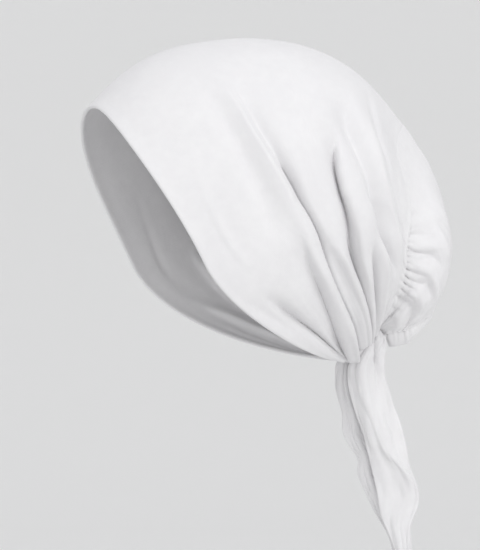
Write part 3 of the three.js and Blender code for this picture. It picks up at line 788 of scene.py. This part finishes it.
def stitch_tree(material):
    """A Geometry Nodes tree that lays stitches end to end along an edge path."""
    tree = bpy.data.node_groups.new("row_of_stitches", "GeometryNodeTree")
    tree.interface.new_socket("Path", in_out="INPUT", socket_type="NodeSocketGeometry")
    for name in ("Pitch", "Length", "Thread"):
        tree.interface.new_socket(name, in_out="INPUT", socket_type="NodeSocketFloat")
    tree.interface.new_socket("Stitches", in_out="OUTPUT", socket_type="NodeSocketGeometry")

    def node(kind, sockets=None, **settings):
        made = tree.nodes.new(kind)
        for key, value in settings.items():
            setattr(made, key, value)
        for key, value in (sockets or {}).items():
            if isinstance(value, bpy.types.NodeSocket):
                tree.links.new(value, made.inputs[key])
            else:
                made.inputs[key].default_value = value
        return made

    def maths(operation, *values):
        return node("ShaderNodeMath", dict(enumerate(values)), operation=operation).outputs[0]

    given = node("NodeGroupInput").outputs
    path = node("GeometryNodeMeshToCurve", {"Mesh": given["Path"]})
    seats = node("GeometryNodeCurveToPoints", {"Curve": path.outputs[0], "Length": given["Pitch"]},
                 mode="LENGTH")
    half = maths("MULTIPLY", given["Length"], 0.5)
    back = maths("MULTIPLY", half, -1.0)
    start = node("ShaderNodeCombineXYZ", {"Z": back}).outputs[0]
    end = node("ShaderNodeCombineXYZ", {"Z": half}).outputs[0]
    line = node("GeometryNodeCurvePrimitiveLine", {"Start": start, "End": end})
    line = node("GeometryNodeResampleCurve", {"Curve": line.outputs[0], "Count": STITCH_POINTS})
    place = node("GeometryNodeSplineParameter").outputs["Factor"]
    plump = maths("ADD", maths("SINE", maths("MULTIPLY", place, math.pi)), THREAD_TIP)
    line = node("GeometryNodeSetCurveRadius", {"Curve": line.outputs[0], "Radius": plump})
    thick = maths("MULTIPLY", given["Thread"], THREAD_RADIUS)
    section = node("GeometryNodeCurvePrimitiveCircle", {"Resolution": THREAD_SIDES, "Radius": thick})
    thread = node("GeometryNodeCurveToMesh", {"Curve": line.outputs[0], "Fill Caps": True,
                                              "Profile Curve": section.outputs[0]})
    rows = node("GeometryNodeInstanceOnPoints", {"Points": seats.outputs["Points"],
                                                 "Instance": thread.outputs[0],
                                                 "Rotation": seats.outputs["Rotation"]})
    whole = node("GeometryNodeRealizeInstances", {"Geometry": rows.outputs[0]})
    sewn = node("GeometryNodeSetMaterial", {"Geometry": whole.outputs[0], "Material": material})
    node("NodeGroupOutput", {"Stitches": sewn.outputs[0]})
    return tree


def row_of_stitches(name, path, sizes):
    """A mesh of stitches along a path in millimetres."""
    guide_mesh = bpy.data.meshes.new(name + "_path")
    count = len(path)
    guide_mesh.from_pydata((path * MM).tolist(), [(i, i + 1) for i in range(count - 1)], [])
    guide = placed(name + "_path", guide_mesh)
    modifier = guide.modifiers.new("stitches", "NODES")
    modifier.node_group = stitch_tree(material_for("hem_jersey"))
    values = {"Pitch": sizes.pitch, "Length": sizes.length, "Thread": sizes.thread}
    for item in modifier.node_group.interface.items_tree:
        if item.in_out == "INPUT" and item.name in values:
            modifier[item.identifier] = values[item.name]
    evaluated = guide.evaluated_get(bpy.context.evaluated_depsgraph_get())
    mesh = bpy.data.meshes.new_from_object(evaluated)
    mesh.name = name
    bpy.data.objects.remove(guide)
    if not mesh.polygons:
        raise RuntimeError("no stitches were made along " + name)
    mesh.shade_smooth()
    return placed(name, mesh)


class BandanaCloth(bpy.types.PropertyGroup):
    """Sizes and colours of the cloth."""
    wall: FloatProperty(name="Wall", description="Thickness of one layer of jersey",
                        default=0.0012, unit="LENGTH")
    edge: FloatProperty(name="Edge", description="Thickness of the turned front edge",
                        default=0.0024, unit="LENGTH")
    strap: FloatProperty(name="Strap", description="Thickness of a tie end",
                         default=0.0016, unit="LENGTH")
    white: FloatVectorProperty(name="White", description="Colour of the jersey", subtype="COLOR",
                               default=(0.780, 0.774, 0.780))
    shade: FloatVectorProperty(name="Shade", description="The jersey where it is a little darker",
                               subtype="COLOR", default=(0.748, 0.741, 0.750))


class BandanaStage(bpy.types.PropertyGroup):
    """The floor and the light."""
    floor: FloatVectorProperty(name="Floor", description="Colour of the floor and backdrop",
                               subtype="COLOR", default=(0.70, 0.70, 0.697))
    glow: FloatProperty(name="Glow", description="How strongly the backdrop is lit from behind",
                        default=0.22)
    drop: FloatProperty(name="Drop", description="Height of the origin over the floor",
                        default=0.62, unit="LENGTH")
    boxes: FloatProperty(name="Boxes", description="Power of the soft boxes", default=6.3,
                         unit="POWER")
    sky: FloatProperty(name="Sky", description="Strength of the light from all round", default=0.78)


class BandanaStitches(bpy.types.PropertyGroup):
    """Sizes of the sewing thread."""
    pitch: FloatProperty(name="Pitch", description="Distance from stitch to stitch",
                         default=0.0028, unit="LENGTH")
    length: FloatProperty(name="Length", description="Length of a stitch", default=0.0022,
                          unit="LENGTH")
    thread: FloatProperty(name="Thread", description="Thickness of the thread", default=0.00035,
                          unit="LENGTH")


def material_for(slot):
    """The material of one of the record's slots, made once."""
    found = bpy.data.materials.get(slot + "_finish")
    if found:
        return found
    cloth = bpy.context.scene.bandana_cloth
    return jersey(slot + "_finish", cloth.white, cloth.shade)


def finish_piece(piece, slot, *nodes):
    """Every piece rides on the one body, and the frame's parts that it replaces are hidden; the slot is
    not used.
    """
    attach(piece, "root")
    if nodes:
        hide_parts(*nodes)


class BANDANA_OT_front_panel(bpy.types.Operator):
    """The long panel over the head, with its folds and its gathered ends"""
    bl_idname = "bandana.front_panel"
    bl_label = "Front panel"

    def execute(self, context):
        cloth = context.scene.bandana_cloth
        grid, v = front_panel_grid()
        wall, edge = cloth.wall / MM, cloth.edge / MM
        thickness = wall + (edge - wall) * np.exp(-(v / 0.016) ** 2)
        panel = Cloth(grid, thickness, 6).object("front_panel_cloth", material_for("white_jersey"))
        finish_piece(panel, "white_jersey", "front_panel")
        return {"FINISHED"}


class BANDANA_OT_back_pouch(bpy.types.Operator):
    """The gathered pouch sewn to the panel's rear edge"""
    bl_idname = "bandana.back_pouch"
    bl_label = "Back pouch"

    def execute(self, context):
        grid = back_pouch_grid()[0]
        wall = context.scene.bandana_cloth.wall / MM
        pouch = Cloth(grid, wall, 3).object("back_pouch_cloth", material_for("white_jersey"))
        finish_piece(pouch, "white_jersey", "back_pouch")
        seat = grid[:, SEAM_COLUMN] - normals_of(grid)[:, SEAM_COLUMN] * SEAM_THREAD_IN
        sewn = row_of_stitches("seam_stitches", seat, context.scene.bandana_stitches)
        finish_piece(sewn, "hem_jersey")
        return {"FINISHED"}


class BANDANA_OT_hem(bpy.types.Operator):
    """The elastic casing along the pouch's lower edge"""
    bl_idname = "bandana.hem"
    bl_label = "Hem"

    def execute(self, context):
        rings, seat = hem_rings()
        hem = Tube(rings).object("hem_casing", material_for("hem_jersey"))
        finish_piece(hem, "hem_jersey", "pouch_hem")
        sewn = row_of_stitches("hem_stitches", seat, context.scene.bandana_stitches)
        finish_piece(sewn, "hem_jersey")
        return {"FINISHED"}


class BANDANA_OT_knot(bpy.types.Operator):
    """The strap wound round the gathers at the nape"""
    bl_idname = "bandana.knot"
    bl_label = "Knot"

    def execute(self, context):
        knot = Tube(knot_rings(), joined=True).object("knot_strap", material_for("tie_jersey"))
        finish_piece(knot, "tie_jersey", "knot_wrap")
        return {"FINISHED"}


class BANDANA_OT_tie_ends(bpy.types.Operator):
    """The two straps' ends that hang from the knot"""
    bl_idname = "bandana.tie_ends"
    bl_label = "Tie ends"

    def execute(self, context):
        wall = context.scene.bandana_cloth.strap / MM
        for name, node, table, valley, seed in (
                ("right_tie_end", "right_tail", RIGHT_TAIL, STRAP_VALLEY, 61),
                ("left_tie_end", "left_tail", LEFT_TAIL, (), 71)):
            grid = tail_grid(table, seed, valley)
            end = Cloth(grid, wall, 4).object(name, material_for("tie_jersey"))
            finish_piece(end, "tie_jersey", node)
        return {"FINISHED"}


class BANDANA_OT_stage(bpy.types.Operator):
    """The floor, the light and the camera"""
    bl_idname = "bandana.stage"
    bl_label = "Stage"

    def execute(self, context):
        stage = context.scene.bandana_stage
        sweep_floor(stage)
        soft_lights(stage)
        camera_at_the_photograph()
        return {"FINISHED"}


def sweep_floor(stage):
    """A pale floor that turns up into a backdrop all round in one soft curve."""
    flat_radius, bend, wall = 2.4, 0.7, 1.5
    bend_steps, sides = 12, 96
    profile = [(0.0, 0.0), (flat_radius, 0.0)]
    for step in range(1, bend_steps + 1):
        turn = math.pi / 2 * step / bend_steps
        profile.append((flat_radius + bend * math.sin(turn), bend * (1 - math.cos(turn))))
    profile.append((flat_radius + bend, wall))
    points, faces = [(0.0, 0.0, -stage.drop)], []
    for radius, height in profile[1:]:
        for j in range(sides):
            turn = 2 * math.pi * j / sides
            points.append((radius * math.cos(turn), radius * math.sin(turn), height - stage.drop))
    for j in range(sides):
        after = (j + 1) % sides
        faces.append((0, 1 + j, 1 + after))
        for k in range(len(profile) - 2):
            a, b = 1 + k * sides, 1 + (k + 1) * sides
            faces.append((a + j, b + j, b + after, a + after))
    mesh = bpy.data.meshes.new("floor_sweep")
    mesh.from_pydata(points, [], faces)
    mesh.shade_smooth()
    mesh.materials.append(paper("floor_paper", stage.floor, 0.9, stage.glow))
    placed("floor_sweep", mesh)


def soft_lights(stage):
    """Soft boxes on the camera's side, and an even sky."""
    world = bpy.data.worlds.new("soft_sky")
    world.use_nodes = True
    sky = world.node_tree.nodes["Background"]
    sky.inputs["Color"].default_value = SKY_COLOUR
    sky.inputs["Strength"].default_value = stage.sky
    bpy.context.scene.world = world
    bpy.context.scene.view_settings.view_transform = "Standard"
    for name, (right, up, share) in SOFT_BOXES.items():
        light = bpy.data.lights.new(name, "AREA")
        light.energy, light.size = stage.boxes * share, BOX_SIZE
        turn, rise = math.radians(right) - VIEW_TURN, math.radians(up)
        toward = Vector((math.cos(turn) * math.cos(rise), math.sin(turn) * math.cos(rise),
                         math.sin(rise)))
        lamp = placed(name, light)
        lamp.location = VIEW_TARGET + toward * BOX_DISTANCE
        lamp.rotation_euler = toward.to_track_quat("Z", "Y").to_euler()
        lamp.visible_camera = False


def camera_at_the_photograph():
    """The camera at the photograph's viewing angle."""
    data = bpy.data.cameras.new("photo_camera")
    data.lens, data.sensor_width = VIEW_LENS, SENSOR_WIDTH
    camera = placed("photo_camera", data)
    side = Vector((math.cos(VIEW_TURN), -math.sin(VIEW_TURN), 0.0))
    camera.location = VIEW_TARGET + side * VIEW_DISTANCE
    camera.rotation_euler = (-side).to_track_quat("-Z", "Y").to_euler()
    bpy.context.scene.camera = camera


STEPS = ("front_panel", "back_pouch", "hem", "knot", "tie_ends", "stage")


class BANDANA_PT_tools(bpy.types.Panel):
    """Lists the bandana's pieces in the sidebar"""
    bl_idname = "BANDANA_PT_tools"
    bl_label = "Bandana"
    bl_space_type = "VIEW_3D"
    bl_region_type = "UI"
    bl_category = "Bandana"

    def draw(self, context):
        for step in STEPS:
            self.layout.operator("bandana." + step)


CLASSES = (BandanaCloth, BandanaStage, BandanaStitches, BANDANA_OT_front_panel,
           BANDANA_OT_back_pouch, BANDANA_OT_hem, BANDANA_OT_knot, BANDANA_OT_tie_ends,
           BANDANA_OT_stage, BANDANA_PT_tools)


def register():
    for made in CLASSES:
        bpy.utils.register_class(made)
    bpy.types.Scene.bandana_cloth = PointerProperty(type=BandanaCloth)
    bpy.types.Scene.bandana_stage = PointerProperty(type=BandanaStage)
    bpy.types.Scene.bandana_stitches = PointerProperty(type=BandanaStitches)


def unregister():
    del bpy.types.Scene.bandana_stitches
    del bpy.types.Scene.bandana_stage
    del bpy.types.Scene.bandana_cloth
    for made in reversed(CLASSES):
        bpy.utils.unregister_class(made)


def main():
    register()
    for step in STEPS:
        getattr(bpy.ops.bandana, step)()


if __name__ == "__main__":
    main()
